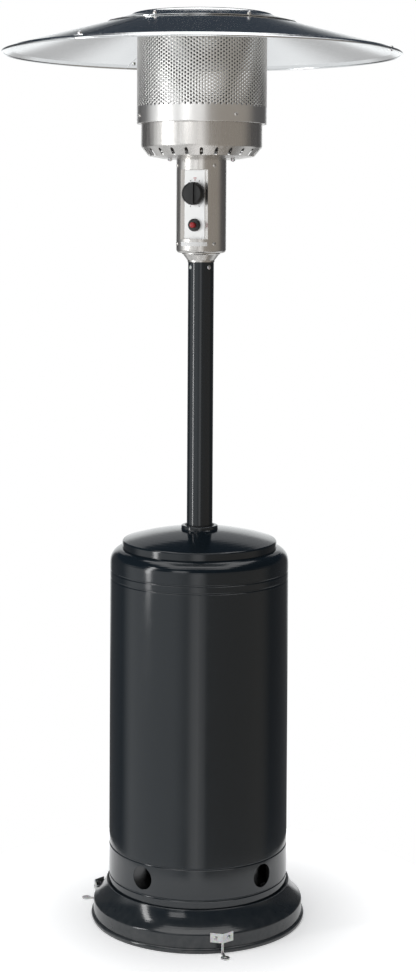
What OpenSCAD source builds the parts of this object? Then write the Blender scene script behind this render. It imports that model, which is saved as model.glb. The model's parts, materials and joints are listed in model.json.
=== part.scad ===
// Free-standing gas patio heater: a pressed base, a tank housing that slides up a
// post, a burner head with its gas controls, and a round reflector in three overlapping segments.
// Azimuth is the angle from the front (-Y), positive towards +X. The origin is on the ground, on the
// axis of the post.

/* [Base] */
// Diameter of the rolled rim that stands on the ground
base_d = 477; // [470:1:490]
// Diameter of the upright skirt above the rim
skirt_d = 467; // [460:1:468]
// Height of the hemmed top edge of the base
base_h = 81; // [76:1:90]
// Height of the deck that the gas bottle stands on
deck_h = 92; // [86:1:98]

/* [Tank housing] */
// Diameter of the tank housing
housing_d = 398; // [396:1:399]
// Height of the flat top of the housing, where the lid sits
housing_top = 825; // [800:1:860]
// Radius of the rounded shoulder at the top of the housing
shoulder_r = 28; // [20:1:34]
// Diameter of the round air windows
vent_d = 50; // [40:1:54]
// Angle between the two air windows on the front half
vent_spread = 82; // [70:1:110]
// Diameter of the lid
lid_d = 345; // [338:1:348]
// Height of the collar on the lid, where the post comes out
lid_top = 875; // [868:1:885]

/* [Post] */
// Outside diameter of the post
post_d = 58; // [54:1:60]
// Height of the top end of the post
post_top = 1463; // [1440:1:1463]
// Height of the plate that the three legs hold up
mount_h = 700; // [680:1:720]

/* [Head] */
// Azimuth that the control panel faces
head_azimuth = -20; // [-45:1:45]
// Diameter of the control housing
control_d = 111.4; // [108:0.2:114]
// Diameter of the burner bowl
bowl_d = 269.4; // [264:0.2:276]
// Number of air slots around the burner bowl
bowl_slots = 24; // [12:1:30]
// Diameter of the emitter screen
screen_d = 289; // [286:0.5:292]
// Height of the top edge of the emitter screen
screen_top = 1996; // [1970:1:1996]
// Diameter of the control knob
knob_d = 50.6; // [44:0.2:52]

/* [Reflector] */
// Diameter over the rolled rim of the reflector
reflector_d = 890; // [860:1:900]
// Height of the rolled rim
reflector_rim_h = 1924.5; // [1920:0.5:1930]
// Slope of the reflector, in degrees
reflector_slope = 15.1; // [13:0.1:15.2]
// Azimuth of the first of the three seams
seam_azimuth = -35; // [-60:1:60]

/* [Hidden] */
$fn = 96;
eps = 0.01;

paint = [0.20, 0.22, 0.23];
steel = [0.74, 0.73, 0.71];
zinc = [0.66, 0.67, 0.68];
alloy = [0.80, 0.81, 0.82];
brass = [0.78, 0.62, 0.32];
black = [0.06, 0.06, 0.07];
red = [0.72, 0.10, 0.12];

// Sheet thicknesses
base_t = 1.5;
housing_t = 1.2;
head_t = 1;

// Base outline
base_r = base_d / 2;
skirt_r = skirt_d / 2;
rim_bead_r = 5.5;
skirt_top = 36;
hem_r = 204.4;
hem_w = 3.4;
ledge_h = base_h - 6;

// Tank housing outline
housing_r = housing_d / 2;
housing_bottom = ledge_h + 0.3;
housing_lip_r = 150;
bead_heights = [base_h + 17, base_h + 85, housing_top - 66, housing_top - 49];
bead_w = 5;
vent_h = base_h + 53;
vent_middle = 4;
seam_slit_w = 1;
lid_r = lid_d / 2;
lid_wall_top = housing_top + 13;
lid_collar_r = 41;
lid_hole_r = post_d / 2 + 3;

// Legs and post
leg_r = 9.5;
leg_circle_r = 184.5;
leg_foot_limit_r = 190;
leg_azimuths = [-60, 60, 180];
leg_bolt_r = 3;
post_r = post_d / 2;
post_wall = 2;
mount_t = 4;
socket_h = 60;
socket_wall = 3;
bolt_gap = 0.05;
pipe_r = 5;
union_r = 8.3;
union_bottom = mount_h - 32;

// Ground anchors: a rod held behind a bent plate, with an eyelet foot on the ground
anchor_azimuths = [13, -107, 133];
rod_r = 3;
rod_circle_r = base_r + rod_r + 0.4;
clamp_bend = 26;
clamp_wing = 28;
clamp_t = 2;
clamp_low = 25;
clamp_high = 45;
clamp_apex_r = rod_circle_r + (rod_r + 0.05) / cos(clamp_bend);
anchor_screw_r = 2;
anchor_screw_at = 16;
foot_t = 3;
foot_w = 19;
foot_reach = 25;
foot_hole_r = 3.5;

// Head levels and control parts, in the head's own frame with the panel facing -Y
neck_top = post_top + 20.5;
control_r = control_d / 2;
control_bottom = neck_top;
control_top = 1690;
recess_low = 1514;
recess_high = 1668;
recess_depth_y = 42;
recess_half_w = 24;
recess_flare = [36.5, 15.8];
knob_h = 1615;
knob_back = 46.6;
knob_front = 68;
spindle_r = 4;
nose_front = 36;
nose_bore_r = 7.1;
nose_bore_end = 20;
valve_bottom = knob_h - 25;
valve_top = knob_h + 25;
igniter_h = 1545.5;
igniter_body_r = 11;
igniter_back = pipe_r + 3;
igniter_cap_r = 6.2;
bracket_y = 15;
bracket_t = 2;
side_angle = 51;
housing_screw_heights = [1504, 1677];
spigot_r = post_r - post_wall - 0.1;
neck_bore_r = 22;
post_bolt_h = post_top - 11;
post_bolt_azimuth = -52;

// Burner and screen
bowl_r = bowl_d / 2;
bowl_floor = control_top + head_t;
bowl_rim = 1770;
screen_r = screen_d / 2;
collar_r = screen_r - head_t - 0.2;
bowl_hole_r = 20;
slot_w = 7.5;
slot_in = bowl_r - 18;
slot_out = bowl_r - 4;
venturi_r = 14;
burner_floor = 1745;
burner_r = 70;
burner_bolt_circle = 80;
burner_bolt_azimuth = -40;
pilot_circle = 80;
pilot_azimuths = [10, 28, 46];
pilot_rod_r = 2;
riser_circle = 17.5;
screw_h = 1786;
screen_lid_h = screen_top - 6;
stud_circle = 110;

// Reflector: rim band, then a straight cone up to the raised centre plate
reflector_r = reflector_d / 2;
sheet_1mm = 1;
rim_roll_r = 2.5;
band_r = reflector_r - 17;
band_h = reflector_rim_h + 8;
segment_inner_r = 150;
plate_edge_r = 212;
plate_lift = 1.3;
plate_t = 1.2;
plate_top = 2013;
plate_bolt_r = 200;
plate_bolt_turn = 5;
tab_w = 20;
tab_lift = 1.1;
seam_bolt_r = 418;
m5_r = 2.5;
function cone_h(r) = band_h + (band_r - r) * tan(reflector_slope);

// ---- Outline helpers -------------------------------------------------------------------------

// Points of an arc from a to b that turns left by the given angle, n steps
function arc_between(a, b, turn, n = 8) =
    let (c = b - a, r = norm(c) / (2 * sin(turn / 2)), start = atan2(c[1], c[0]) - turn / 2)
    [for (i = [0 : n]) let (s = start + turn * i / n)
        a + r * [sin(s) - sin(start), cos(start) - cos(s)]];

function unit(v) = v / norm(v);
function left_of(v) = [-v[1], v[0]];
function edge_side(path, i) = left_of(unit(path[i + 1] - path[i]));
function corner_side(path, i) =
    let (before = edge_side(path, max(i - 1, 0)),
         after = edge_side(path, min(i, len(path) - 2)),
         middle = unit(before + after))
    middle / (middle * after);

function without_repeats(path) =
    [for (i = [0 : len(path) - 1]) if (i == 0 || norm(path[i] - path[max(i - 1, 0)]) > eps) path[i]];

// Closed outline of a sheet of thickness t on the left of a path; a negative t puts it on the right
function sheet(points, t) =
    let (path = without_repeats(points))
    concat(path, [for (i = [len(path) - 1 : -1 : 0]) path[i] + t * corner_side(path, i)]);

// ---- Shape helpers ---------------------------------------------------------------------------

module at_azimuth(azimuth, r = 0, h = 0) {
    rotate([0, 0, azimuth]) translate([0, -r, h]) children();
}

module at_head() {
    rotate([0, 0, head_azimuth]) children();
}

module tube(r, inner_r, h) {
    difference() {
        cylinder(r = r, h = h);
        translate([0, 0, -1]) cylinder(r = inner_r, h = h + 2);
    }
}

// Points the children's +Z away from the axis, towards the front
module facing_front() {
    rotate([90, 0, 0]) children();
}

module hex_prism(across, h) {
    cylinder(r = across / sqrt(3), h = h, $fn = 6);
}

// Bolt with its head's underside at z = 0 and its shank pointing down
module hex_bolt(r, length) {
    hex_prism(3.3 * r, 1.3 * r);
    translate([0, 0, -length]) cylinder(r = r, h = length + eps, $fn = 32);
}

module round_head_screw(r, length) {
    difference() {
        intersection() {
            cylinder(r = 2 * r, h = 1.4 * r, $fn = 32);
            translate([0, 0, -1.1 * r]) sphere(r = 2.5 * r, $fn = 48);
        }
        for (turn = [0, 90]) {
            rotate([0, 0, turn]) translate([-1.3 * r, -0.2 * r, 0.8 * r]) cube([2.6 * r, 0.4 * r, r]);
        }
    }
    translate([0, 0, -length]) cylinder(r = r, h = length + eps, $fn = 32);
}

module hex_nut(r, h) {
    difference() {
        hex_prism(3.3 * r, h);
        translate([0, 0, -1]) cylinder(r = r + bolt_gap, h = h + 2, $fn = 32);
    }
}

// ---- Base ------------------------------------------------------------------------------------

function base_path() = concat(
    [[skirt_r, 4]],
    arc_between([skirt_r, skirt_top], [skirt_r - 2.1, skirt_top + 4.6], 50, 6),
    arc_between([skirt_r - 2.1, skirt_top + 4.6], [hem_r, base_h - 1.5], -29, 10),
    arc_between([hem_r, base_h - 1], [hem_r - hem_w, base_h - 1], 150, 6),
    [[hem_r - hem_w, ledge_h + 0.05]]
);

function deck_path() = [
    [hem_r - 1, ledge_h], [housing_r - 3.2, ledge_h], [housing_r - 3.2, deck_h - 1.5],
    [housing_r - 4.7, deck_h], [0, deck_h]
];

module base_cover() {
    color(paint)
    difference() {
        rotate_extrude($fn = 180) {
            polygon(sheet(base_path(), base_t));
            translate([base_r - rim_bead_r, rim_bead_r]) circle(r = rim_bead_r, $fn = 32);
            translate([base_r - 1.6 * rim_bead_r, 0]) square([1.2 * rim_bead_r, rim_bead_r]);
        }
        for (azimuth = anchor_azimuths) {
            anchor_screw_places(azimuth) translate([0, 0, -12]) {
                cylinder(r = anchor_screw_r + 0.1, h = 11.9, $fn = 32);
            }
        }
    }
}

module bottle_deck() {
    color(paint)
    difference() {
        rotate_extrude($fn = 180) polygon(sheet(deck_path(), base_t));
        for (azimuth = leg_azimuths) {
            at_azimuth(azimuth, leg_circle_r, deck_h - 10) cylinder(r = leg_bolt_r + 0.3, h = 20, $fn = 32);
        }
    }
}

// The legs are tubes with a plug at each end that takes a bolt
module support_leg(azimuth) {
    plug_h = 30;
    color(paint)
    at_azimuth(azimuth, leg_circle_r, deck_h)
    difference() {
        union() {
            cylinder(r = leg_r, h = mount_h - deck_h, $fn = 48);
            intersection() {
                cylinder(r = 2.2 * leg_r, h = 3, $fn = 48);
                translate([0, leg_circle_r, -1]) cylinder(r = leg_foot_limit_r, h = 5);
            }
        }
        translate([0, 0, plug_h]) cylinder(r = leg_r - 1.5, h = mount_h - deck_h - 2 * plug_h, $fn = 48);
        for (h = [-1, mount_h - deck_h - 22]) {
            translate([0, 0, h]) cylinder(r = leg_bolt_r + bolt_gap, h = 23, $fn = 32);
        }
    }
}

module leg_bolts() {
    color(zinc)
    for (azimuth = leg_azimuths) {
        at_azimuth(azimuth, leg_circle_r, mount_h + mount_t) hex_bolt(leg_bolt_r, 22);
        at_azimuth(azimuth, leg_circle_r, deck_h - base_t) mirror([0, 0, 1]) hex_bolt(leg_bolt_r, 20);
    }
}

// ---- Ground anchors --------------------------------------------------------------------------

module clamp_outline(apex) {
    reach = clamp_wing * cos(clamp_bend);
    drop = clamp_wing * sin(clamp_bend);
    skin = clamp_t / cos(clamp_bend);
    polygon([
        [0, -apex], [reach, drop - apex], [reach, drop - apex - skin],
        [0, -apex - skin], [-reach, drop - apex - skin], [-reach, drop - apex]
    ]);
}

// One place on each wing of the clamp, +Z square to the wing, z = 0 on its outer face
module anchor_screw_places(azimuth) {
    for (side = [-1, 1]) {
        rotate([0, 0, azimuth])
        translate([0, -clamp_apex_r - clamp_t / cos(clamp_bend), (clamp_low + clamp_high) / 2])
        rotate([0, 0, side * clamp_bend])
        translate([side * anchor_screw_at, 0, 0])
        facing_front()
        children();
    }
}

module anchor_clamp(azimuth) {
    color(zinc)
    difference() {
        rotate([0, 0, azimuth])
        translate([0, 0, clamp_low])
        linear_extrude(clamp_high - clamp_low)
        clamp_outline(clamp_apex_r);
        anchor_screw_places(azimuth) {
            translate([0, 0, -clamp_t - 1]) cylinder(r = anchor_screw_r + 0.1, h = clamp_t + 2, $fn = 32);
        }
    }
}

module anchor_foot(azimuth) {
    color(zinc)
    at_azimuth(azimuth, rod_circle_r, 0)
    difference() {
        union() {
            cylinder(r = rod_r, h = clamp_high - 3, $fn = 32);
            translate([0, -foot_reach, 0]) cylinder(r = foot_w / 2, h = foot_t, $fn = 48);
            translate([-rod_r, -foot_reach, 0]) cube([2 * rod_r, foot_reach, foot_t]);
        }
        translate([0, -foot_reach, -1]) cylinder(r = foot_hole_r, h = foot_t + 2, $fn = 48);
    }
}

module anchor_screws() {
    color(zinc)
    for (azimuth = anchor_azimuths) {
        anchor_screw_places(azimuth) round_head_screw(anchor_screw_r, 11);
    }
}

// ---- Post ------------------------------------------------------------------------------------

module post_mount() {
    arm_w = 30;
    color(paint)
    difference() {
        union() {
            translate([0, 0, mount_h]) cylinder(r = 60, h = mount_t);
            translate([0, 0, mount_h]) cylinder(r = post_r + socket_wall, h = mount_t + socket_h);
            for (azimuth = leg_azimuths) {
                at_azimuth(azimuth, 0, mount_h) intersection() {
                    translate([-arm_w / 2, -leg_circle_r - arm_w, 0]) {
                        cube([arm_w, leg_circle_r + arm_w, mount_t]);
                    }
                    cylinder(r = leg_circle_r + leg_r, h = mount_t);
                }
            }
        }
        translate([0, 0, mount_h + mount_t]) cylinder(r = post_r + bolt_gap, h = socket_h + 1);
        translate([0, 0, mount_h - 1]) cylinder(r = union_r + 0.1, h = mount_t + 2, $fn = 48);
        for (azimuth = leg_azimuths) {
            at_azimuth(azimuth, leg_circle_r, mount_h - 1) {
                cylinder(r = leg_bolt_r + 0.3, h = mount_t + 2, $fn = 32);
            }
        }
        post_foot_bolt_places() translate([0, 0, -12]) cylinder(r = 3.1, h = 20, $fn = 32);
    }
}

module post_foot_bolt_places() {
    for (azimuth = [-90, 90]) {
        at_azimuth(azimuth, post_r + socket_wall, mount_h + mount_t + 30) facing_front() children();
    }
}

module post_top_bolt_places() {
    for (turn = [0 : 90 : 270]) {
        at_azimuth(post_bolt_azimuth + turn, post_r, post_bolt_h) facing_front() children();
    }
}

module post() {
    foot = mount_h + mount_t;
    color(paint)
    difference() {
        translate([0, 0, foot]) tube(post_r, post_r - post_wall, post_top - foot);
        post_foot_bolt_places() translate([0, 0, -12]) cylinder(r = 3.1, h = 20, $fn = 32);
        post_top_bolt_places() translate([0, 0, -8]) cylinder(r = 2.6, h = 12, $fn = 32);
    }
}

module post_foot_bolts() {
    color(zinc) post_foot_bolt_places() hex_bolt(3, 10);
}

module post_top_bolts() {
    color(zinc) post_top_bolt_places() round_head_screw(m5_r, 5);
}

module gas_inlet_union() {
    color(brass)
    difference() {
        union() {
            translate([0, 0, union_bottom]) cylinder(r = union_r, h = mount_h + 18 - union_bottom, $fn = 48);
            translate([0, 0, mount_h - 12]) hex_prism(22, 12);
        }
        translate([0, 0, union_bottom - 1]) cylinder(r = pipe_r - 1, h = 60, $fn = 32);
        translate([0, 0, mount_h + 8]) cylinder(r = pipe_r + bolt_gap, h = 20, $fn = 32);
    }
}

module inlet_locknut() {
    color(brass)
    translate([0, 0, mount_h + mount_t])
    difference() {
        hex_prism(22, 6);
        translate([0, 0, -1]) cylinder(r = union_r + bolt_gap, h = 8, $fn = 48);
    }
}

module gas_pipe() {
    color(alloy)
    translate([0, 0, mount_h + 8])
    tube(pipe_r, pipe_r - 1, valve_bottom - 14 - mount_h - 8, $fn = 32);
}

// ---- Tank housing ----------------------------------------------------------------------------

function bead(h) = arc_between([housing_r, h - bead_w / 2], [housing_r, h + bead_w / 2], -110, 6);

function housing_path() = concat(
    [[housing_r, housing_bottom]],
    [for (h = bead_heights) each bead(h)],
    arc_between([housing_r, housing_top - shoulder_r], [housing_r - shoulder_r, housing_top], 90, 12),
    [[housing_lip_r, housing_top]]
);

module vent_places() {
    for (turn = [0, 180], side = [-1, 1]) {
        at_azimuth(vent_middle + turn + side * vent_spread / 2, housing_r, vent_h) facing_front() children();
    }
}

module lid_rivet_places() {
    for (turn = [0 : 60 : 300]) {
        at_azimuth(turn + 30, lid_r - 8, housing_top) children();
    }
}

module tank_housing() {
    color(paint)
    difference() {
        rotate_extrude($fn = 180) polygon(sheet(housing_path(), housing_t));
        vent_places() translate([0, 0, -20]) cylinder(r = vent_d / 2, h = 40, $fn = 64);
        lid_rivet_places() translate([0, 0, -5]) cylinder(r = 2.05, h = 10, $fn = 24);
        translate([-seam_slit_w / 2, -housing_r - 1, housing_bottom - 1]) cube([seam_slit_w, 10, 14]);
        translate([-seam_slit_w / 2, -housing_r - 1, housing_bottom - 1]) {
            cube([seam_slit_w, 1.4, housing_top - shoulder_r - housing_bottom]);
        }
    }
}

function lid_path() = concat(
    [[lid_r, housing_top]],
    arc_between([lid_r, lid_wall_top], [lid_r - 4, lid_wall_top + 4.4], 78, 6),
    arc_between([lid_r - 4, lid_wall_top + 4.4], [lid_collar_r + 1.5, lid_top - 9], 12, 10),
    arc_between([lid_collar_r, lid_top - 7.5], [lid_collar_r, lid_top - 2.5], 2, 1),
    arc_between([lid_collar_r, lid_top - 2.5], [lid_collar_r - 2.5, lid_top], 90, 4),
    [[lid_hole_r + housing_t, lid_top], [lid_hole_r, lid_top - housing_t], [lid_hole_r, lid_top - 14]]
);

module tank_lid() {
    color(paint)
    difference() {
        union() {
            rotate_extrude($fn = 180) polygon(sheet(lid_path(), housing_t));
            translate([0, 0, housing_top]) tube(lid_r - 0.5, lid_r - 14, housing_t);
        }
        lid_rivet_places() translate([0, 0, -5]) cylinder(r = 2.05, h = 10, $fn = 24);
    }
}

module lid_rivets() {
    color(zinc)
    lid_rivet_places() {
        translate([0, 0, -housing_t - 1.5]) cylinder(r = 4, h = 1.5, $fn = 24);
        translate([0, 0, -housing_t - eps]) cylinder(r = 2, h = 2 * housing_t + 2 * eps, $fn = 24);
        translate([0, 0, housing_t]) cylinder(r = 3.5, h = 1.2, $fn = 24);
    }
}

module post_bush() {
    color(black)
    translate([0, 0, lid_top - 16]) {
        tube(lid_hole_r - 0.05, post_r + 0.4, 17);
        tube(lid_hole_r + 3, post_r + 0.4, 2);
    }
}

// ---- Head: neck, bracket and covers ----------------------------------------------------------

module head_neck() {
    color(steel)
    difference() {
        union() {
            rotate_extrude() polygon([
                [0, post_top + 0.2], [post_r + 1, post_top + 0.2], [post_r + 1.5, post_top + 4],
                [40, neck_top - 4], [43, neck_top - 2], [43, neck_top], [0, neck_top]
            ]);
            translate([0, 0, post_top - 38]) cylinder(r = spigot_r, h = 40);
        }
        translate([0, 0, post_top - 40]) cylinder(r = neck_bore_r, h = 80, $fn = 64);
        post_top_bolt_places() translate([0, 0, -8]) cylinder(r = 2.55, h = 8, $fn = 32);
    }
}

module valve_bracket() {
    color(zinc)
    at_head() {
        translate([-26, bracket_y, neck_top]) cube([52, bracket_t, control_top - 2.5 - neck_top]);
        translate([-18, bracket_y, neck_top]) cube([36, 18, bracket_t]);
        translate([-18, bracket_y, control_top - 2.5 - bracket_t]) cube([36, 18, bracket_t]);
    }
}

module head_top_plate() {
    color(steel)
    translate([0, 0, control_top - 2.5]) tube(control_r - head_t - 0.2, bowl_hole_r, 2.5);
}

// Space in front of the recessed panel; inset moves its walls inwards by a sheet thickness
module recess_space(inset) {
    face = -recess_depth_y + inset;
    outer = face - recess_flare[1];
    translate([0, 0, recess_low - inset])
    linear_extrude(recess_high - recess_low + 2 * inset)
    polygon([
        [-recess_half_w - inset, face], [recess_half_w + inset, face],
        [recess_half_w + inset + recess_flare[0], outer], [recess_half_w + recess_flare[0], outer - 40],
        [-recess_half_w - recess_flare[0], outer - 40], [-recess_half_w - inset - recess_flare[0], outer]
    ]);
}

module housing_screw_places() {
    for (turn = [0, 180], side = [-1, 1], h = housing_screw_heights) {
        at_azimuth(turn + side * side_angle, control_r, h) facing_front() children();
    }
}

// Cylinder with a rounded bottom edge, used for the outside and the inside of the control housing
module rounded_can(r, bottom, corner) {
    rotate_extrude() polygon(concat(
        [[0, bottom]],
        arc_between([r - corner, bottom], [r, bottom + corner], 90, 8),
        [[r, control_top], [0, control_top]]
    ));
}

module control_housing() {
    color(steel)
    at_head()
    difference() {
        rounded_can(control_r, control_bottom, 8);
        recess_space(0);
        difference() {
            translate([0, 0, eps]) rounded_can(control_r - head_t, control_bottom + head_t, 7);
            recess_space(head_t);
        }
        translate([0, 0, control_bottom - 1]) cylinder(r = 38, h = 4);
        housing_screw_places() translate([0, 0, -4]) cylinder(r = 2.1, h = 6, $fn = 32);
        translate([0, -recess_depth_y + 2, knob_h]) facing_front() cylinder(r = 6, h = 6, $fn = 48);
        translate([0, -recess_depth_y + 2, igniter_h]) {
            facing_front() cylinder(r = igniter_body_r + 0.1, h = 6, $fn = 48);
        }
    }
}

module housing_screws() {
    color(steel) at_head() housing_screw_places() round_head_screw(2, 7);
}

module control_panel() {
    color(alloy)
    at_head()
    translate([0, -recess_depth_y, 0])
    difference() {
        translate([-recess_half_w + 0.5, -1, recess_low + 1]) {
            cube([2 * recess_half_w - 1, 1, recess_high - recess_low - 2]);
        }
        translate([0, 1, knob_h]) facing_front() cylinder(r = 6, h = 4, $fn = 48);
        translate([0, 1, igniter_h]) facing_front() cylinder(r = igniter_body_r + 0.1, h = 4, $fn = 48);
    }
}

// ---- Head: gas valve, knob and igniter -------------------------------------------------------

module gas_valve() {
    color(alloy)
    at_head()
    difference() {
        union() {
            translate([-18, -24, valve_bottom]) cube([36, 24 + bracket_y, valve_top - valve_bottom]);
            translate([0, -23, knob_h]) facing_front() cylinder(r = 11, h = nose_front - 23, $fn = 64);
            translate([0, 0, valve_bottom - 14]) cylinder(r = 9, h = 15, $fn = 48);
            translate([0, 0, valve_top - 1]) cylinder(r = 9, h = 9, $fn = 48);
        }
        translate([0, -nose_bore_end, knob_h]) {
            facing_front() cylinder(r = nose_bore_r, h = nose_front, $fn = 64);
        }
        translate([0, -8, knob_h]) facing_front() cylinder(r = spindle_r + 0.08, h = 20, $fn = 48);
        translate([0, 0, valve_bottom - 15]) cylinder(r = pipe_r - 1, h = 12, $fn = 32);
        translate([0, 0, valve_top - 4]) cylinder(r = pipe_r + bolt_gap, h = 13, $fn = 32);
    }
}

// Does not turn: the spindle pushes it in to open the safety valve
module valve_plunger() {
    color(brass)
    at_head()
    translate([0, -24, knob_h])
    facing_front()
    tube(nose_bore_r - 0.05, spindle_r + 0.05, 9, $fn = 64);
}

module valve_spindle() {
    color(brass)
    at_head() {
        translate([0, -12, knob_h]) facing_front() cylinder(r = spindle_r, h = 50, $fn = 48);
        translate([0, -33.05, knob_h]) facing_front() cylinder(r = 6, h = 2.5, $fn = 48);
    }
}

module control_knob() {
    knob_r = knob_d / 2;
    flutes = 20;
    body_h = knob_front - knob_back;
    color(black)
    at_head()
    translate([0, -knob_back, knob_h])
    facing_front()
    difference() {
        union() {
            cylinder(r = knob_r, h = 0.42 * body_h);
            rotate_extrude() polygon(concat(
                [[0, 0.4 * body_h]],
                arc_between([knob_r - 0.4, 0.4 * body_h], [knob_r - 5, 0.72 * body_h], 50, 6),
                [[0, 0.76 * body_h]]
            ));
            intersection() {
                translate([-5, -knob_r + 1, 0]) cube([10, 2 * knob_r - 2, body_h]);
                cylinder(r = knob_r - 0.5, h = body_h);
            }
        }
        for (i = [0 : flutes - 1]) {
            rotate([0, 0, (i + 0.5) * 360 / flutes]) translate([0, knob_r + 1.2, -1]) {
                cylinder(r = 2.2, h = 0.36 * body_h + 1, $fn = 24);
            }
        }
        translate([0, 0, -1]) cylinder(r = spindle_r + 0.02, h = 62.3 - knob_back + 1, $fn = 48);
    }
}

module igniter_body() {
    color(black)
    at_head()
    translate([0, -igniter_back, igniter_h])
    facing_front()
    difference() {
        union() {
            cylinder(r = igniter_body_r, h = 39, $fn = 64);
            rotate_extrude($fn = 64) polygon([
                [0, 35], [14, 35], [14, 39], [13, 41], [11.5, 42], [0, 42]
            ]);
            for (side = [-1, 1]) {
                translate([8 * side - 0.5, -2.5, -7]) cube([1, 5, 8]);
            }
        }
        translate([0, 0, 22]) cylinder(r = igniter_cap_r + 0.15, h = 30, $fn = 48);
        translate([0, 0, 6]) cylinder(r = 3, h = 20, $fn = 32);
    }
}

module igniter_nut() {
    color(zinc)
    at_head()
    translate([0, -recess_depth_y + head_t + 5, igniter_h])
    facing_front()
    difference() {
        hex_prism(27, 5);
        translate([0, 0, -1]) cylinder(r = igniter_body_r + bolt_gap, h = 7, $fn = 48);
    }
}

module igniter_button() {
    color(red)
    at_head()
    translate([0, -20, igniter_h])
    facing_front() {
        cylinder(r = 2.8, h = 20, $fn = 32);
        translate([0, 0, 18]) rotate_extrude($fn = 48) polygon(concat(
            [[0, 0], [igniter_cap_r, 0]],
            arc_between([igniter_cap_r, 20], [igniter_cap_r - 2.5, 22.5], 80, 5),
            [[0, 23]]
        ));
    }
}

module tilt_switch() {
    color(black)
    at_head()
    translate([-12, bracket_y + bracket_t, knob_h + 15])
    cube([24, 16, 28]);
}

// ---- Head: burner ----------------------------------------------------------------------------

module injector() {
    color(brass)
    translate([0, 0, valve_top + 8])
    difference() {
        union() {
            translate([0, 0, -10]) cylinder(r = pipe_r, h = 11, $fn = 32);
            hex_prism(14, 9);
            translate([0, 0, 9 - eps]) cylinder(r1 = 6, r2 = 3, h = 9, $fn = 32);
        }
        translate([0, 0, -11]) cylinder(r = 3, h = 24, $fn = 32);
        translate([0, 0, 10]) cylinder(r = 0.8, h = 10, $fn = 24);
    }
}

module venturi_tube() {
    bottom = valve_top + 22;
    color(steel)
    rotate_extrude() polygon(sheet(concat(
        arc_between([venturi_r + 1, bottom], [venturi_r, bottom + 8], -12, 3),
        [[venturi_r, burner_floor + 1]]
    ), head_t));
}

function bowl_path() = concat(
    [[collar_r, screw_h + 14], [collar_r, bowl_rim + 1.5]],
    [[collar_r - 1.5, bowl_rim], [bowl_r, bowl_rim]],
    arc_between([bowl_r, bowl_floor + 30], [bowl_r - 1.5, bowl_floor + 26], -35, 4),
    [[bowl_r - 17, bowl_floor + 7], [bowl_r - 47, bowl_floor + 1.5]],
    [[control_r + 2, control_top], [bowl_hole_r, control_top]]
);

module bowl_slot() {
    translate([-slot_w / 2, -slot_out + slot_w / 2, control_top - 5]) {
        cube([slot_w, slot_out - slot_in - slot_w, 50]);
    }
    for (r = [slot_in + slot_w / 2, slot_out - slot_w / 2]) {
        translate([0, -r, control_top - 5]) cylinder(r = slot_w / 2, h = 50, $fn = 24);
    }
}

module burner_bolt_places(h) {
    for (turn = [0 : 120 : 240]) {
        at_azimuth(burner_bolt_azimuth + turn, burner_bolt_circle, h) children();
    }
}

module screen_screw_places() {
    for (turn = [0, 180], side = [-1, 1]) {
        at_azimuth(turn + side * side_angle, screen_r, screw_h) facing_front() children();
    }
}

module burner_bowl() {
    color(steel)
    at_head()
    difference() {
        rotate_extrude($fn = 120) polygon(sheet(bowl_path(), -head_t));
        for (i = [0 : bowl_slots - 1]) {
            rotate([0, 0, i * 360 / bowl_slots - head_azimuth]) bowl_slot();
        }
        burner_bolt_places(control_top - 5) cylinder(r = 2.6, h = 30, $fn = 32);
        screen_screw_places() translate([0, 0, -6]) cylinder(r = 2.1, h = 8, $fn = 32);
    }
}

// Disc on three hollow feet, with three rods that carry the burner head
module burner_base() {
    disc_h = bowl_floor + 15;
    color(steel)
    at_head()
    difference() {
        union() {
            translate([0, 0, disc_h]) tube(90, bowl_hole_r + 1, 1.5);
            burner_bolt_places(bowl_floor + 2.8) cylinder(r = 7, h = disc_h - bowl_floor - 2.5, $fn = 32);
            burner_bolt_places(disc_h) translate([0, 25, 0]) {
                cylinder(r = 3.5, h = burner_floor - disc_h, $fn = 32);
            }
        }
        burner_bolt_places(control_top - 5) cylinder(r = 2.6, h = 40, $fn = 32);
    }
}

module burner_bolts() {
    color(zinc) at_head() burner_bolt_places(bowl_floor + 16.5) hex_bolt(m5_r, 22);
}

module burner_nuts() {
    color(zinc) at_head() burner_bolt_places(control_top - 2.7) hex_nut(m5_r, 4);
}

module burner_head() {
    ports = 36;
    color(steel)
    difference() {
        translate([0, 0, burner_floor]) rotate_extrude() polygon([
            [venturi_r + 0.1, 0], [burner_r, 0], [burner_r, 20], [burner_r - 20, 30], [0, 32],
            [0, 30.5], [burner_r - 20.5, 28.5], [burner_r - 1.5, 19], [burner_r - 1.5, 1.5],
            [venturi_r + 0.1, 1.5]
        ]);
        for (i = [0 : ports - 1]) {
            at_azimuth(i * 360 / ports, burner_r - 5, burner_floor + 12) {
                facing_front() cylinder(r = 1.6, h = 10, $fn = 16);
            }
        }
    }
}

// Rod that rises beside the venturi, turns outwards and rises again beside the burner head
module riser(azimuth, r, bottom, top) {
    bend_h = burner_floor - 20;
    at_head()
    rotate([0, 0, azimuth]) {
        translate([0, -riser_circle, bottom]) cylinder(r = r, h = bend_h - bottom, $fn = 24);
        translate([0, -riser_circle, bend_h]) sphere(r = r, $fn = 24);
        translate([0, -riser_circle, bend_h]) {
            facing_front() cylinder(r = r, h = pilot_circle - riser_circle, $fn = 24);
        }
        translate([0, -pilot_circle, bend_h]) sphere(r = r, $fn = 24);
        translate([0, -pilot_circle, bend_h]) cylinder(r = r, h = top - bend_h, $fn = 24);
    }
}

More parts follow.
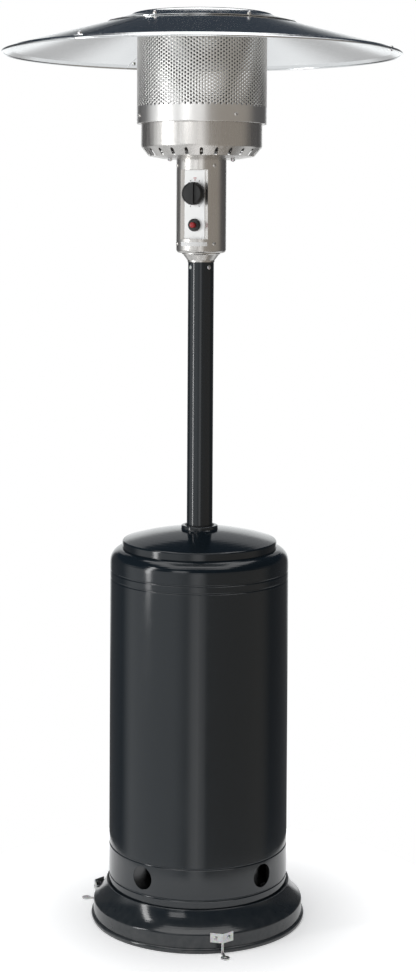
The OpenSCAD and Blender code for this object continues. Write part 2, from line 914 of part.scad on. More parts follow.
// Strip under the burner head that holds the pilot parts
module pilot_bracket() {
    strip_t = 1.5;
    color(steel)
    at_head()
    difference() {
        translate([0, 0, burner_floor - strip_t])
        rotate([0, 0, pilot_azimuths[0] - 100])
        rotate_extrude(angle = 56)
        translate([burner_r - 10, 0]) square([28, strip_t]);
        for (azimuth = pilot_azimuths) {
            at_azimuth(azimuth, pilot_circle, burner_floor - 5) {
                cylinder(r = pilot_rod_r + 0.1, h = 10, $fn = 32);
            }
        }
    }
}

module pilot_burner() {
    color(brass) {
        riser(pilot_azimuths[0], pilot_rod_r, valve_top, burner_floor + 1);
        at_head() at_azimuth(pilot_azimuths[0], pilot_circle, burner_floor) {
            difference() {
                cylinder(r = 5, h = 18, $fn = 32);
                translate([0, 0, 4]) cylinder(r = 3.8, h = 20, $fn = 32);
            }
        }
    }
}

module thermocouple() {
    color(steel) {
        riser(pilot_azimuths[1], pilot_rod_r, valve_top, burner_floor + 22);
        at_head() at_azimuth(pilot_azimuths[1], pilot_circle, burner_floor) cylinder(r = 4, h = 10, $fn = 32);
    }
}

module ignition_electrode() {
    color([0.92, 0.91, 0.88])
    at_head()
    at_azimuth(pilot_azimuths[2], pilot_circle, burner_floor) {
        cylinder(r = 3.5, h = 12, $fn = 32);
        translate([0, 0, -18]) cylinder(r = pilot_rod_r, h = 42, $fn = 24);
    }
}

module emitter_screen() {
    color(steel)
    at_head()
    difference() {
        translate([0, 0, bowl_rim]) tube(screen_r, screen_r - head_t, screen_top - bowl_rim, $fn = 120);
        screen_screw_places() translate([0, 0, -6]) cylinder(r = 2.1, h = 8, $fn = 32);
    }
}

module screen_screws() {
    color(steel) at_head() screen_screw_places() round_head_screw(2, 5);
}

module stud_places(h) {
    for (turn = [0 : 120 : 240]) {
        at_azimuth(turn + 60, stud_circle, h) children();
    }
}

module screen_top_plate() {
    color(steel)
    difference() {
        rotate_extrude($fn = 120) polygon(sheet(
            [
                [collar_r, screen_lid_h - 14], [collar_r, screen_lid_h - 2],
                [collar_r - 2, screen_lid_h], [0, screen_lid_h]
            ],
            plate_t
        ));
        stud_places(screen_lid_h - 5) cylinder(r = 3.1, h = 10, $fn = 32);
    }
}

// ---- Reflector -------------------------------------------------------------------------------

module reflector_studs() {
    under_plate = plate_top - plate_t;
    color(zinc)
    stud_places(screen_lid_h) {
        translate([0, 0, -plate_t - 4]) hex_prism(10, 4);
        translate([0, 0, -plate_t - eps]) {
            cylinder(r = 3, h = plate_top + 4 - screen_lid_h + plate_t, $fn = 32);
        }
        cylinder(r = 7, h = under_plate - screen_lid_h, $fn = 32);
    }
}

module stud_nuts() {
    color(zinc)
    stud_places(plate_top)
    difference() {
        union() {
            hex_prism(10, 4);
            translate([0, 0, 2.5]) intersection() {
                sphere(r = 4.6, $fn = 32);
                translate([0, 0, 0]) cylinder(r = 5, h = 5, $fn = 32);
            }
        }
        translate([0, 0, -1]) cylinder(r = 3 + bolt_gap, h = 5.1, $fn = 32);
    }
}

function plate_path() = concat(
    [[plate_edge_r, cone_h(plate_edge_r) + plate_lift + plate_t]],
    arc_between(
        [168, cone_h(168) + plate_lift + plate_t], [segment_inner_r + 8, plate_top - 2.2], -16, 4
    ),
    arc_between([segment_inner_r + 8, plate_top - 2.2], [segment_inner_r, plate_top], 24, 4),
    [[0, plate_top]]
);

// Places square to the cone, z = 0 on the top face of the segments
module on_cone(azimuth, r, across = 0) {
    rotate([0, 0, azimuth]) translate([across, -r, cone_h(r)]) rotate([reflector_slope, 0, 0]) children();
}

module plate_bolt_places() {
    for (turn = [0 : 60 : 300]) {
        on_cone(seam_azimuth + plate_bolt_turn + turn, plate_bolt_r) children();
    }
}

module seam_bolt_places() {
    for (turn = [0 : 120 : 240]) {
        on_cone(seam_azimuth + turn, seam_bolt_r, -tab_w / 2) children();
    }
}

module reflector_holes() {
    plate_bolt_places() translate([0, 0, -10]) cylinder(r = m5_r + 0.1, h = 20, $fn = 32);
    seam_bolt_places() translate([0, 0, -10]) cylinder(r = m5_r + 0.1, h = 20, $fn = 32);
}

module reflector_centre_plate() {
    color(alloy)
    difference() {
        rotate_extrude($fn = 180) polygon(sheet(plate_path(), plate_t));
        plate_bolt_places() translate([0, 0, -10]) cylinder(r = m5_r + 0.1, h = 20, $fn = 32);
        stud_places(plate_top - 5) cylinder(r = 3.1, h = 10, $fn = 32);
    }
}

function segment_path(lift, outer) = concat(
    [for (r = [segment_inner_r, min(outer, band_r)]) [r, cone_h(r) + lift]],
    outer > band_r ? [[reflector_r - 1.5 * rim_roll_r, reflector_rim_h + 1.2]] : []
);

// One third of the cone with its part of the rolled rim, and a raised tab that laps the segment before it
module reflector_segment(start) {
    color(alloy)
    difference() {
        union() {
            rotate([0, 0, start - 90]) rotate_extrude(angle = 119.7, $fn = 180) {
                polygon(sheet(segment_path(0, reflector_r), -sheet_1mm));
                translate([reflector_r - rim_roll_r, reflector_rim_h]) circle(r = rim_roll_r, $fn = 24);
            }
            rotate([0, 0, start]) {
                intersection() {
                    rotate([0, 0, -100]) rotate_extrude(angle = 20, $fn = 180) {
                        polygon(sheet(segment_path(tab_lift, band_r - 1), -sheet_1mm));
                    }
                    translate([-tab_w, -reflector_r, band_h - 20]) cube([tab_w + 4, reflector_r - 152, 120]);
                }
                intersection() {
                    rotate([0, 0, -100]) rotate_extrude(angle = 20, $fn = 180) {
                        polygon(sheet(segment_path(tab_lift / 2, band_r - 1), -sheet_1mm));
                    }
                    translate([0.4, -reflector_r, band_h - 20]) cube([3.6, reflector_r - 152, 120]);
                }
            }
        }
        reflector_holes();
    }
}

module reflector_bolts() {
    color(zinc) {
        plate_bolt_places() translate([0, 0, -sheet_1mm - 0.1]) mirror([0, 0, 1]) hex_bolt(m5_r, 7);
        seam_bolt_places() translate([0, 0, -sheet_1mm - 0.1]) mirror([0, 0, 1]) hex_bolt(m5_r, 7);
    }
}

module dome_nut(h) {
    translate([0, 0, h])
    difference() {
        union() {
            hex_prism(8, 3);
            intersection() {
                translate([0, 0, 2.6]) sphere(r = 4, $fn = 32);
                cylinder(r = 4.2, h = 9, $fn = 32);
            }
        }
        translate([0, 0, -1]) cylinder(r = m5_r + bolt_gap, h = 6.2, $fn = 32);
    }
}

module reflector_dome_nuts() {
    color(zinc) {
        plate_bolt_places() dome_nut(plate_lift + plate_t + 0.1);
        seam_bolt_places() dome_nut(tab_lift + 0.1);
    }
}

// ---- Assembly --------------------------------------------------------------------------------

base_cover();
bottle_deck();
support_leg(leg_azimuths[0]);  // support_leg_left
support_leg(leg_azimuths[1]);  // support_leg_right
support_leg(leg_azimuths[2]);  // support_leg_rear
leg_bolts();
anchor_clamp(anchor_azimuths[0]);  // anchor_clamp_front
anchor_clamp(anchor_azimuths[1]);  // anchor_clamp_left
anchor_clamp(anchor_azimuths[2]);  // anchor_clamp_rear
anchor_foot(anchor_azimuths[0]);  // anchor_foot_front
anchor_foot(anchor_azimuths[1]);  // anchor_foot_left
anchor_foot(anchor_azimuths[2]);  // anchor_foot_rear
anchor_screws();
post_mount();
post();
post_foot_bolts();
gas_inlet_union();
inlet_locknut();
gas_pipe();
tank_housing();
tank_lid();
lid_rivets();
post_bush();
head_neck();
post_top_bolts();
valve_bracket();
control_housing();
housing_screws();
control_panel();
head_top_plate();
gas_valve();
valve_plunger();
valve_spindle();
control_knob();
igniter_body();
igniter_nut();
igniter_button();
tilt_switch();
injector();
venturi_tube();
burner_bowl();
burner_base();
burner_bolts();
burner_nuts();
burner_head();
pilot_bracket();
pilot_burner();
thermocouple();
ignition_electrode();
emitter_screen();
screen_screws();
screen_top_plate();
reflector_studs();
stud_nuts();
reflector_centre_plate();
reflector_segment(seam_azimuth);  // reflector_segment_front
reflector_segment(seam_azimuth + 120);  // reflector_segment_rear
reflector_segment(seam_azimuth + 240);  // reflector_segment_left
reflector_bolts();
reflector_dome_nuts();
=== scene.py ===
"""The looks of a free-standing gas patio heater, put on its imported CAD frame."""

import json
import math

import bmesh
import bpy
from mathutils import Matrix, Vector


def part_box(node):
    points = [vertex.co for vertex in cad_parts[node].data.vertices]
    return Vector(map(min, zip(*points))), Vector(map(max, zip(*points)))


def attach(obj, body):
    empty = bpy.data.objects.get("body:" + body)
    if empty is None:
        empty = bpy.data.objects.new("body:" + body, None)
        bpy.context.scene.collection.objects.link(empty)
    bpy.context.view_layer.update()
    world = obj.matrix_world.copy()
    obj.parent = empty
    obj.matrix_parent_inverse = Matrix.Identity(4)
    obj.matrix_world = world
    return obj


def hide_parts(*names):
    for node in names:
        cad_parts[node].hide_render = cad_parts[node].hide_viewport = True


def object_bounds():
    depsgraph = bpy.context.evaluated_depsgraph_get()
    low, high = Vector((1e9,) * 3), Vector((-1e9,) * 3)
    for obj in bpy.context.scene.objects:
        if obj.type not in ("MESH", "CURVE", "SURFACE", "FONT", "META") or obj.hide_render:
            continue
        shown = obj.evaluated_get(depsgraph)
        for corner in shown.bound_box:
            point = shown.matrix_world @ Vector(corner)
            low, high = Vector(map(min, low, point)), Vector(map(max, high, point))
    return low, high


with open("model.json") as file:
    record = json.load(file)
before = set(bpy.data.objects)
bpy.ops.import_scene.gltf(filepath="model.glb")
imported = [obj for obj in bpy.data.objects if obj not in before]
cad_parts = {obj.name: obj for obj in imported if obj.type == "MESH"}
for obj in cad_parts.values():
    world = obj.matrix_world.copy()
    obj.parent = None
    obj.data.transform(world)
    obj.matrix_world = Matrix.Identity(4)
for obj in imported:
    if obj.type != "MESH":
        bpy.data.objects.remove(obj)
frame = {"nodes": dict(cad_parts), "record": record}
cad_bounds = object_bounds()

MM = 0.001


# ---- Measures taken from the frame -----------------------------------------------------------


def low(node):
    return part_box(node)[0]


def high(node):
    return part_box(node)[1]


def half_width(node):
    """Half of a round node's size along X: its radius, for a node centred on the post's axis."""
    return (high(node).x - low(node).x) / 2


def head_azimuth():
    """The way that the control panel faces, read from the knob's place beside the post's axis."""
    middle = (low("control_knob") + high("control_knob")) / 2
    return math.atan2(middle.x, -middle.y)


def round_about(azimuth, radius, height):
    """A point at an azimuth from the front (-Y), positive towards +X."""
    return Vector((radius * math.sin(azimuth), -radius * math.cos(azimuth), height))


HEAD_AZIMUTH = head_azimuth()


# ---- Building shader node trees --------------------------------------------------------------


class Shader:
    """A material's node tree, with short calls for the nodes that this scene uses."""

    def __init__(self, name):
        self.material = bpy.data.materials.new(name)
        self.material.use_nodes = True
        self.tree = self.material.node_tree
        self.principled = self.tree.nodes["Principled BSDF"]
        self.place = self.add("ShaderNodeTexCoord").outputs["Object"]

    def add(self, kind, inputs=None, **settings):
        node = self.tree.nodes.new(kind)
        for name, value in settings.items():
            setattr(node, name, value)
        for name, value in (inputs or {}).items():
            self.feed(node.inputs[name], value)
        return node

    def feed(self, socket, value):
        if isinstance(value, bpy.types.NodeSocket):
            self.tree.links.new(value, socket)
        else:
            socket.default_value = value

    def set(self, **values):
        for name, value in values.items():
            self.feed(self.principled.inputs[name.replace("_", " ")], value)

    def stretched(self, scale):
        return self.add("ShaderNodeMapping", {"Vector": self.place, "Scale": scale}).outputs[0]

    def noise(self, scale, detail=3.0, vector=None):
        inputs = {"Vector": vector or self.place, "Scale": scale, "Detail": detail}
        return self.add("ShaderNodeTexNoise", inputs).outputs["Fac"]

    def level(self, value, start, end, to_start, to_end):
        inputs = {"Value": value, "From Min": start, "From Max": end, "To Min": to_start, "To Max": to_end}
        return self.add("ShaderNodeMapRange", inputs).outputs[0]

    def math(self, operation, first, second=0.0):
        node = self.add("ShaderNodeMath", operation=operation)
        self.feed(node.inputs[0], first)
        self.feed(node.inputs[1], second)
        return node.outputs[0]

    def mix(self, factor, first, second):
        node = self.add("ShaderNodeMix", data_type="RGBA")
        self.feed(node.inputs[0], factor)
        self.feed(node.inputs[6], first)
        self.feed(node.inputs[7], second)
        return node.outputs[2]

    def bump(self, height, strength, distance=0.0005):
        inputs = {"Height": height, "Strength": strength, "Distance": distance}
        self.feed(self.principled.inputs["Normal"], self.add("ShaderNodeBump", inputs).outputs[0])

    def height_above(self):
        return self.add("ShaderNodeSeparateXYZ", {"Vector": self.place}).outputs["Z"]


def grey(value, tint=(1.0, 1.0, 1.0)):
    return (value * tint[0], value * tint[1], value * tint[2], 1.0)


# ---- Materials -------------------------------------------------------------------------------

FLOOR_RADIUS = 0.60
FLOOR_GAP = 0.2 * MM  # keeps the floor clear of the underside


def anthracite_paint():
    """Glossy stoved enamel with a faint orange peel and a little dust near the ground."""
    s = Shader("anthracite_paint")
    cloud = s.noise(3.0)
    base = s.mix(cloud, grey(0.0110, (0.66, 1.0, 1.34)), grey(0.0155, (0.66, 1.0, 1.32)))
    dust = s.level(s.height_above(), 0.0, 0.10, 0.35, 0.0)
    speckle = s.math("MULTIPLY", dust, s.noise(60.0, 5.0))
    s.set(Base_Color=s.mix(speckle, base, grey(0.16, (1.0, 0.98, 0.94))))
    s.set(Roughness=s.level(s.noise(14.0, 4.0), 0.3, 0.7, 0.10, 0.17))
    s.set(IOR=1.52)
    s.bump(s.noise(420.0, 2.0), 0.05, 0.0002)
    return s.material


def black_paint():
    """Satin paint of the legs and the post mount."""
    s = Shader("black_paint")
    s.set(Base_Color=s.mix(s.noise(40.0), grey(0.012), grey(0.030)))
    s.set(Roughness=s.level(s.noise(90.0), 0.3, 0.7, 0.38, 0.52))
    s.bump(s.noise(600.0), 0.10, 0.0002)
    return s.material


def brushed_steel():
    """Stainless sheet, brushed up and down."""
    s = Shader("stainless")
    lines = s.noise(1.0, 6.0, s.stretched((220.0, 220.0, 9.0)))
    cloud = s.noise(9.0, 4.0)
    tone = 0.74
    dark = grey(tone * 0.80, (1.0, 0.965, 0.925))
    light = grey(tone, (1.0, 0.985, 0.965))
    s.set(Base_Color=s.mix(s.math("MULTIPLY", lines, cloud), dark, light))
    s.set(Metallic=1.0, Anisotropic=0.35)
    s.set(Roughness=s.level(lines, 0.25, 0.75, 0.20, 0.34))
    s.bump(lines, 0.035, 0.0003)
    return s.material


def screen_steel():
    """Stainless sheet that the flame has tinted a little towards the top."""
    s = Shader("screen_steel")
    lines = s.noise(1.0, 5.0, s.stretched((90.0, 90.0, 14.0)))
    heat = s.level(s.height_above(), low("emitter_screen").z + 0.05, high("emitter_screen").z, 0.0, 0.45)
    tint = s.math("MULTIPLY", heat, s.noise(11.0, 4.0))
    s.set(Base_Color=s.mix(tint, grey(0.76, (1.0, 0.985, 0.965)), grey(0.58, (1.0, 0.92, 0.80))))
    s.set(Metallic=1.0)
    s.set(Roughness=s.level(lines, 0.25, 0.75, 0.26, 0.34))
    s.bump(lines, 0.012, 0.0003)
    return s.material


def polished_aluminium():
    """Bright rolled sheet: long soft waves and fine handling marks."""
    s = Shader("polished_aluminium")
    marks = s.noise(180.0, 6.0, s.stretched((1.0, 1.0, 0.2)))
    waves = s.noise(5.0, 2.0)
    s.set(Base_Color=s.mix(marks, grey(0.74, (0.975, 0.99, 1.0)), grey(0.88, (0.985, 0.995, 1.0))))
    s.set(Metallic=1.0)
    s.set(Roughness=s.level(marks, 0.3, 0.7, 0.11, 0.20))
    s.bump(waves, 0.12, 0.004)
    return s.material


def satin_aluminium(name, tone, rough):
    """Dull aluminium with fine level lines."""
    s = Shader(name)
    lines = s.noise(1.0, 5.0, s.stretched((30.0, 30.0, 700.0)))
    s.set(Base_Color=s.mix(lines, grey(tone * 0.88), grey(tone, (1.0, 0.995, 0.98))))
    s.set(Metallic=1.0)
    s.set(Roughness=s.level(lines, 0.3, 0.7, rough, rough + 0.12))
    s.bump(lines, 0.03, 0.0002)
    return s.material


def zinc_plate():
    """Bright zinc plating with small crystals and dull rubbed patches."""
    s = Shader("zinc_plate")
    crystals = s.add("ShaderNodeTexVoronoi", {"Vector": s.place, "Scale": 380.0}).outputs["Color"]
    worn = s.noise(70.0, 4.0)
    s.set(Base_Color=s.mix(worn, grey(0.48), s.mix(0.25, grey(0.66), crystals)))
    s.set(Metallic=0.95)
    s.set(Roughness=s.level(worn, 0.3, 0.7, 0.26, 0.46))
    s.bump(worn, 0.08, 0.0003)
    return s.material


def turned_brass():
    """Brass with fine rings left by the lathe."""
    s = Shader("turned_brass")
    rings = s.noise(1.0, 4.0, s.stretched((60.0, 60.0, 900.0)))
    s.set(Base_Color=s.mix(rings, (0.50, 0.34, 0.13, 1.0), (0.72, 0.53, 0.24, 1.0)))
    s.set(Metallic=1.0)
    s.set(Roughness=s.level(rings, 0.3, 0.7, 0.22, 0.38))
    s.bump(rings, 0.05, 0.0002)
    return s.material


def moulded(name, dark, light, rough):
    """Moulded plastic with a fine grain."""
    s = Shader(name)
    s.set(Base_Color=s.mix(s.noise(45.0, 4.0), dark, light))
    s.set(Roughness=s.level(s.noise(130.0, 4.0), 0.3, 0.7, rough, rough + 0.14))
    s.bump(s.noise(900.0, 2.0), 0.10, 0.0002)
    return s.material


def studio_floor():
    """Pale floor that glows white away from the object, so that it has no horizon."""
    s = Shader("studio_floor")
    s.set(Base_Color=s.mix(s.noise(0.8, 5.0), grey(0.86), grey(0.90)))
    s.set(Roughness=s.level(s.noise(3.0), 0.3, 0.7, 0.55, 0.70))
    away = s.add("ShaderNodeVectorMath", {0: s.place}, operation="LENGTH").outputs["Value"]
    s.set(Emission_Color=grey(1.0))
    s.set(Emission_Strength=s.level(away, 0.40 * FLOOR_RADIUS, FLOOR_RADIUS, 0.34, 0.85))
    return s.material


materials = {
    "anthracite_paint": anthracite_paint(),
    "black_paint": black_paint(),
    "stainless": brushed_steel(),
    "zinc": zinc_plate(),
    "reflector_aluminium": polished_aluminium(),
    "plain_aluminium": satin_aluminium("plain_aluminium", 0.86, 0.45),
    "cast_aluminium": satin_aluminium("cast_aluminium", 0.52, 0.48),
    "brass": turned_brass(),
    "black_knob": moulded("black_knob", grey(0.006), grey(0.012), 0.30),
    "black_plastic": moulded("black_plastic", grey(0.012), grey(0.028), 0.38),
    "red_button": moulded("red_button", (0.30, 0.010, 0.014, 1.0), (0.46, 0.020, 0.024, 1.0), 0.22),
    "ceramic": moulded("ceramic", grey(0.70, (1.0, 0.98, 0.93)), grey(0.82, (1.0, 0.99, 0.95)), 0.20),
}
white_print = moulded("white_print", grey(0.84), grey(0.92), 0.40)
red_print = moulded("red_print", (0.42, 0.02, 0.02, 1.0), (0.58, 0.03, 0.03, 1.0), 0.40)
black_print = moulded("black_print", grey(0.02), grey(0.05), 0.45)
screen_material = screen_steel()
# Near-black finish for the inside of the screen: painted shade, so that the holes look dark.
screen_inside_painted_shade = moulded("screen_inside_painted_shade", grey(0.012), grey(0.035, (1.0, 0.93, 0.85)), 0.70)


def dress_cad_nodes():
    """Gives each CAD node the material of the slot that the record names for it."""
    slots = {part["node"]: part["material_slot"] for part in frame["record"]["subparts"]}
    for name, node in frame["nodes"].items():
        node.data.materials.clear()
        node.data.materials.append(materials[slots[name]])


# ---- Mesh helpers ----------------------------------------------------------------------------


def mesh_piece(name, build, material, body):
    """A piece made by build(bmesh), which rides on a body and takes the material that it is given."""
    shape = bmesh.new()
    build(shape)
    bmesh.ops.recalc_face_normals(shape, faces=shape.faces)
    mesh = bpy.data.meshes.new(name)
    shape.to_mesh(mesh)
    shape.free()
    piece = bpy.data.objects.new(name, mesh)
    bpy.context.scene.collection.objects.link(piece)
    piece.data.materials.append(material)
    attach(piece, body)
    return piece


def panel_frame(point):
    """Places a point given as (across, outwards, height) in the head's own directions."""
    across, outwards, height = point
    return Matrix.Rotation(HEAD_AZIMUTH, 3, "Z") @ Vector((across, -outwards, height))


# ---- The perforated screen -------------------------------------------------------------------

SCREEN_COLUMNS = 140  # even, so that the half steps close round the tube
HOLE_PITCH = 8.2 * MM
HOLE_RADIUS = 2.2 * MM
SCREEN_ROWS = 21
PLAIN_BAND = 35 * MM
PLAIN_STEPS = (2 * MM, 10 * MM)  # extra rings of points in the plain band
SCREEN_SHEET = 1.0 * MM


def build_screen(shape):
    """A tube of cells with a hole in each; every other column is half a cell higher."""
    radius = half_width("emitter_screen")
    bottom = low("emitter_screen").z
    top = high("emitter_screen").z
    turn = math.tau / SCREEN_COLUMNS
    half = HOLE_PITCH / 2
    points = {}

    def vertex(column, height):
        """column counts in half columns, height in metres."""
        key = (column % (2 * SCREEN_COLUMNS), round(height * 1e6))
        if key not in points:
            points[key] = shape.verts.new(round_about(key[0] * turn / 2, radius, height))
        return points[key]

    def plain(column, start, end):
        """Two faces without a hole, one for each half column."""
        for side in (0, 1):
            corners = [(side, start), (side + 1, start), (side + 1, end), (side, end)]
            shape.faces.new([vertex(column + a, h) for a, h in corners])

    def holed(column, start):
        """A cell with an eight-sided hole, one hole pitch tall."""
        edge = [(0, 0), (1, 0), (2, 0), (2, 1), (2, 2), (1, 2), (0, 2), (0, 1)]
        rim = []
        for a, h in edge:
            angle = math.atan2(h - 1, a - 1)
            azimuth = (column + 1) * turn / 2 + HOLE_RADIUS * math.cos(angle) / radius
            height = start + half + HOLE_RADIUS * math.sin(angle)
            rim.append(shape.verts.new(round_about(azimuth, radius, height)))
        for i, (a, h) in enumerate(edge):
            j = (i + 1) % len(edge)
            outer = [vertex(column + edge[k][0], start + half * edge[k][1]) for k in (i, j)]
            shape.faces.new([outer[0], outer[1], rim[j], rim[i]])

    first = bottom + PLAIN_BAND
    levels = [bottom, *(bottom + step for step in PLAIN_STEPS), first]
    for index in range(SCREEN_COLUMNS):
        column = 2 * index
        start = first + half * (index % 2)
        for i in range(len(levels) - 1):
            plain(column, levels[i], levels[i + 1])
        if index % 2:
            plain(column, first, start)
        for row in range(SCREEN_ROWS):
            holed(column, start + row * HOLE_PITCH)
        end = start + SCREEN_ROWS * HOLE_PITCH
        last = first + (SCREEN_ROWS + 0.5) * HOLE_PITCH
        if end < last - half / 2:
            plain(column, end, last)
        plain(column, last, top)


def perforated_screen():
    """The screen with its holes, steel outside and a near-black painted shade inside, shown in place of
    the plain tube.
    """
    piece = mesh_piece("perforated_screen", build_screen, screen_material, "stand_and_head")
    piece.data.materials.append(screen_inside_painted_shade)
    for face in piece.data.polygons:
        face.use_smooth = True
    wall = piece.modifiers.new("wall", "SOLIDIFY")
    wall.thickness = SCREEN_SHEET
    wall.offset = -1.0
    # The inner face takes the near-black painted shade.
    wall.material_offset = 1
    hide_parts("emitter_screen")


# ---- Marks on the panel, and the plain strip below it -----------------------------------------

MARK_THICKNESS = 0.3 * MM
DIAL_MARK_ANGLES = (-20, 20, 160, 200)
STRIP_HEIGHT = 9 * MM
STRIP_BELOW_PANEL = 16 * MM
STRIP_SPREAD = math.radians(66)
STRIP_STEPS = 16
STRIP_LIFT = 0.15 * MM
STRIP_THICKNESS = 0.12 * MM


def flat_bar(shape, centre, size, turn=0.0):
    """A thin raised bar on the panel; size is (across, thickness, height)."""
    across, outwards, height = centre
    box = bmesh.ops.create_cube(shape, size=1.0)["verts"]
    for corner in box:
        a = corner.co.x * size[0]
        h = corner.co.z * size[2]
        turned = (a * math.cos(turn) - h * math.sin(turn), a * math.sin(turn) + h * math.cos(turn))
        corner.co = panel_frame((across + turned[0], outwards + corner.co.y * size[1], height + turned[1]))
    edges = list({edge for corner in box for edge in corner.link_edges})
    bmesh.ops.bevel(shape, geom=edges, offset=0.3 * size[1], segments=2, affect="EDGES")


def knob_centre():
    """The height of the knob's axis."""
    return (low("control_knob").z + high("control_knob").z) / 2


def knob_radius():
    return (high("control_knob").z - low("control_knob").z) / 2


def outward_reach(node):
    """How far a node of the head reaches from the post's axis, in the panel's direction."""
    away = panel_frame((0.0, 1.0, 0.0))
    return max(v.co.dot(away) for v in frame["nodes"][node].data.vertices)


def dial_marks(shape):
    """Tick marks over and under the knob, where the panel is wide enough for them."""
    face = outward_reach("control_panel")
    reach = knob_radius() + 4.5 * MM
    for angle in DIAL_MARK_ANGLES:
        turn = math.radians(angle)
        centre = (-math.sin(turn) * reach, face, knob_centre() + math.cos(turn) * reach)
        flat_bar(shape, centre, (1.4 * MM, MARK_THICKNESS, 3.0 * MM), turn)


def off_mark(shape):
    """A bar above the knob, with a short tick below it."""
    face = outward_reach("control_panel")
    height = knob_centre() + knob_radius() + 9 * MM
    flat_bar(shape, (0.0, face, height), (7.0 * MM, MARK_THICKNESS, 1.6 * MM))
    flat_bar(shape, (0.0, face, height - 4 * MM), (1.6 * MM, MARK_THICKNESS, 3.4 * MM))


def plain_strip(shape):
    """A blank pale strip on the housing below the panel."""
    radius = half_width("control_housing") + STRIP_LIFT
    bottom = low("control_panel").z - STRIP_BELOW_PANEL
    rows = []
    for height in (bottom, bottom + STRIP_HEIGHT):
        row = []
        for i in range(STRIP_STEPS + 1):
            azimuth = HEAD_AZIMUTH + STRIP_SPREAD * (i / STRIP_STEPS - 0.5)
            row.append(shape.verts.new(round_about(azimuth, radius, height)))
        rows.append(row)
    for i in range(STRIP_STEPS):
        shape.faces.new([rows[0][i], rows[0][i + 1], rows[1][i + 1], rows[1][i]])


def marks():
    """Plain marks in place of the printing, with no lettering."""
    head = "stand_and_head"
    mesh_piece("dial_marks", dial_marks, black_print, head)
    mesh_piece("off_mark", off_mark, red_print, head)
    strip = mesh_piece("plain_strip", plain_strip, white_print, head)
    thick = strip.modifiers.new("thickness", "SOLIDIFY")
    thick.thickness = STRIP_THICKNESS


# ---- Studio ----------------------------------------------------------------------------------


def floor():
    """A round pale floor; past its edge the bright background takes over."""
    shape = bmesh.new()
    bmesh.ops.create_circle(shape, cap_ends=True, segments=128, radius=FLOOR_RADIUS)
    mesh = bpy.data.meshes.new("floor")
    shape.to_mesh(mesh)
    shape.free()
    piece = bpy.data.objects.new("floor", mesh)
    piece.location.z = cad_bounds[0][2] - FLOOR_GAP
    bpy.context.scene.collection.objects.link(piece)
    mesh.materials.append(studio_floor())


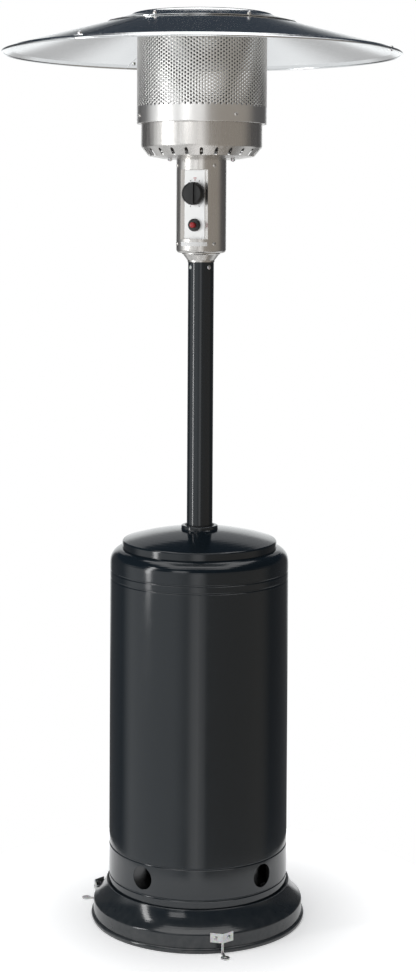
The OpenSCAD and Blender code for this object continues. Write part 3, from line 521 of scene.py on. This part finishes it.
def studio_world():
    """White behind the object as the camera sees it; what the object mirrors is a dim room."""
    world = bpy.data.worlds.new("studio")
    bpy.context.scene.world = world
    world.use_nodes = True
    tree = world.node_tree
    direction = tree.nodes.new("ShaderNodeTexCoord").outputs["Generated"]
    parts = tree.nodes.new("ShaderNodeSeparateXYZ")
    tree.links.new(direction, parts.inputs[0])
    x, y, z = (parts.outputs[axis] for axis in "XYZ")

    def ramp(value, start, end):
        """0 where value is at start, 1 where it is at end."""
        node = tree.nodes.new("ShaderNodeMapRange")
        node.interpolation_type = "SMOOTHSTEP"
        tree.links.new(value, node.inputs["Value"])
        node.inputs["From Min"].default_value = start
        node.inputs["From Max"].default_value = end
        return node.outputs[0]

    def times(first, second):
        node = tree.nodes.new("ShaderNodeMath")
        node.operation = "MULTIPLY"
        tree.links.new(first, node.inputs[0])
        tree.links.new(second, node.inputs[1])
        return node.outputs[0]

    def blend(factor, first, second):
        node = tree.nodes.new("ShaderNodeMix")
        node.data_type = "RGBA"
        tree.links.new(factor, node.inputs[0])
        for socket, value in ((node.inputs[6], first), (node.inputs[7], second)):
            if isinstance(value, bpy.types.NodeSocket):
                tree.links.new(value, socket)
            else:
                socket.default_value = value
        return node.outputs[2]

    front = ramp(y, 0.30, -0.20)
    window = times(ramp(x, -0.05, -0.55), ramp(y, 0.45, 0.05))
    right_wall = times(front, ramp(x, 0.05, 0.30))
    bright_strip = times(front, times(ramp(x, -0.30, -0.06), ramp(x, 0.20, 0.02)))
    floor_behind = times(ramp(z, -0.38, -0.55), ramp(y, 0.15, 0.45))
    upper_wall = ramp(z, 0.16, 0.34)
    backdrop = times(ramp(y, 0.88, 0.975), times(ramp(z, 0.30, 0.20), ramp(z, -0.26, -0.20)))
    ceiling = ramp(z, 0.80, 0.95)
    camera_ray = tree.nodes.new("ShaderNodeLightPath").outputs["Is Camera Ray"]

    # Each zone covers those above it. The last one is the white that the camera sees behind the object.
    zones = (
        (front, grey(0.26, (1.0, 0.97, 0.92))),
        (window, grey(0.85, (0.97, 0.99, 1.0))),
        (right_wall, grey(0.36, (1.0, 0.92, 0.82))),
        (bright_strip, grey(1.3)),
        (floor_behind, grey(0.85, (0.97, 0.99, 1.0))),
        (upper_wall, grey(0.032, (0.62, 0.92, 1.35))),
        (backdrop, grey(0.80, (0.96, 0.99, 1.0))),
        (ceiling, grey(0.5)),
        (camera_ray, grey(1.0)),
    )
    room = grey(0.10, (1.0, 1.0, 1.03))
    for zone, shade in zones:
        room = blend(zone, room, shade)
    tree.links.new(room, tree.nodes["Background"].inputs["Color"])


def soft_box(name, azimuth, distance, height, size, power):
    """A white area light that faces the middle of the object; azimuth in degrees, size in metres."""
    data = bpy.data.lights.new(name, "AREA")
    data.shape = "RECTANGLE"
    data.size, data.size_y = size
    data.energy = power
    light = bpy.data.objects.new(name, data)
    light.location = round_about(math.radians(azimuth), distance, height)
    aim = Vector((0.0, 0.0, cad_bounds[1][2] / 2)) - light.location
    light.rotation_euler = aim.to_track_quat("-Z", "Y").to_euler()
    light.visible_camera = False
    bpy.context.scene.collection.objects.link(light)


def lights():
    soft_box("left_strip", -66, 3.2, 1.5, (0.40, 2.8), 32)
    soft_box("front_bank", -25, 4.8, 2.6, (1.6, 1.2), 14)
    soft_box("top_bank", 0, 0.1, 4.6, (5.0, 5.0), 130)
    soft_box("backdrop", 180, 3.0, 1.4, (2.6, 2.4), 8)


# Metres from the post's axis and the ground; the lens and the sensor in millimetres
CAMERA_DISTANCE = 4.058
CAMERA_HEIGHT = 1.5683
CAMERA_ASIDE = 0.0156
CAMERA_LENS = 67.4
CAMERA_SENSOR = 36.0
CAMERA_PITCH = math.radians(-1.5)
CAMERA_ROLL = math.radians(0.32)
CAMERA_SHIFT = -0.230


def camera():
    data = bpy.data.cameras.new("camera")
    data.sensor_fit = "AUTO"
    data.sensor_width = CAMERA_SENSOR
    data.lens = CAMERA_LENS
    data.shift_y = CAMERA_SHIFT
    eye = bpy.data.objects.new("camera", data)
    tilt = Matrix.Rotation(math.pi / 2 + CAMERA_PITCH, 4, "X") @ Matrix.Rotation(CAMERA_ROLL, 4, "Z")
    eye.matrix_world = Matrix.Translation((CAMERA_ASIDE, -CAMERA_DISTANCE, CAMERA_HEIGHT)) @ tilt
    bpy.context.scene.collection.objects.link(eye)
    bpy.context.scene.camera = eye


# ---- The scene -------------------------------------------------------------------------------

bpy.context.scene.view_settings.view_transform = "Standard"
dress_cad_nodes()
perforated_screen()
marks()
floor()
studio_world()
lights()
camera()
